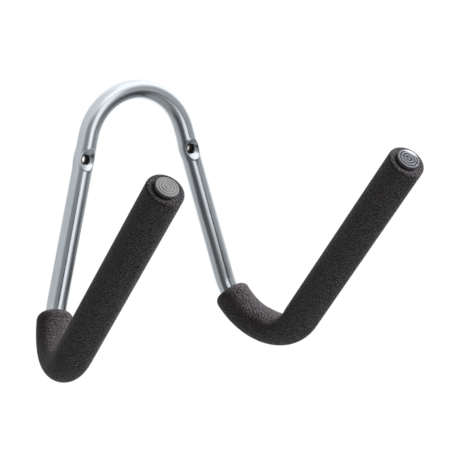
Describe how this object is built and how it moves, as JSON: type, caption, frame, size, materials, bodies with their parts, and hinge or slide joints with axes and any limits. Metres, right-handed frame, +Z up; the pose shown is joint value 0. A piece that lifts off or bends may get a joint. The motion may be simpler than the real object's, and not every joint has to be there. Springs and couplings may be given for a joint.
{
  "type": "wall hook",
  "caption": "Wall hook bent from round steel tube: a high arch screwed to the wall through its two legs, with two padded arms that slope up.",
  "frame": {"origin": "on the wall plane, midway between the two screw holes", "axes": "+Z up the wall, -Y straight out from the wall into the room, +X to the right for someone who faces the hook"},
  "size_m": [0.2342, 0.2306, 0.2203],
  "materials": {
    "zinc_plated_steel": "bright zinc plating on smooth drawn tube",
    "black_foam": "matte closed-cell foam with a fine pore grain",
    "grey_plastic": "moulded, with fine turned rings on the head"
  },
  "bodies": {
    "root": {"bent_tube": "zinc_plated_steel", "right_foam_sleeve": "black_foam", "left_foam_sleeve": "black_foam", "right_end_plug": "grey_plastic", "left_end_plug": "grey_plastic"}
  },
  "joints": []
}
